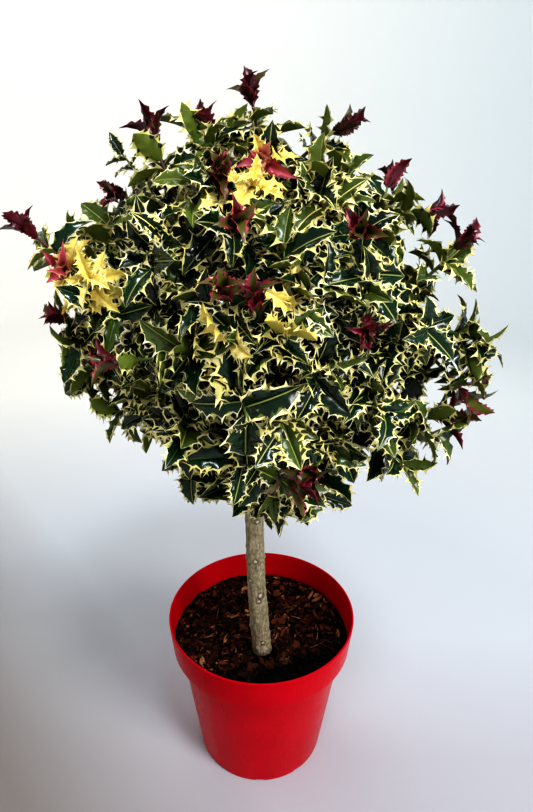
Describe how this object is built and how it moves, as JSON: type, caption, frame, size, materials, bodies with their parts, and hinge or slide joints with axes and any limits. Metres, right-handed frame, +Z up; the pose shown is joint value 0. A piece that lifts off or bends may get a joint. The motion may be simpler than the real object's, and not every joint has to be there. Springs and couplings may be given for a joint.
{
  "type": "potted holly standard tree",
  "caption": "Potted standard holly: a clear, slightly leaning trunk and forked boughs carry a round crown of spiny cream-edged leaves, in a tapered red pot with bark mulch.",
  "frame": {"origin": "middle of the pot's flat underside", "axes": "+Z up along the pot's axis, -Y towards the plant's front, +X to the right seen from the front"},
  "size_m": [0.4817, 0.4161, 0.8637],
  "materials": {
    "pot": "semi-gloss red plastic",
    "mulch": "rough dark bark chips over potting soil",
    "bark": "matte grey-brown bark",
    "green_bark": "matte olive young bark",
    "foliage": "glossy dark green leaves with cream margins"
  },
  "bodies": {
    "root": {"pot": "pot", "mulch": "mulch", "trunk": "bark", "bough_top": "green_bark", "bough_upper_front_right": "green_bark", "bough_upper_back_right": "green_bark", "bough_upper_back_left": "green_bark", "bough_upper_front_left": "green_bark", "bough_front": "green_bark", "bough_right": "green_bark", "bough_back_right": "green_bark", "bough_back_left": "green_bark", "bough_left": "green_bark", "bough_lower_front_right": "green_bark", "bough_lower_back_right": "green_bark", "bough_lower_back_left": "green_bark", "bough_lower_front_left": "green_bark", "foliage_top": "foliage", "foliage_upper_front_right": "foliage", "foliage_upper_back_right": "foliage", "foliage_upper_back_left": "foliage", "foliage_upper_front_left": "foliage", "foliage_front": "foliage", "foliage_right": "foliage", "foliage_back_right": "foliage", "foliage_back_left": "foliage", "foliage_left": "foliage", "foliage_lower_front_right": "foliage", "foliage_lower_back_right": "foliage", "foliage_lower_back_left": "foliage", "foliage_lower_front_left": "foliage"}
  },
  "joints": []
}
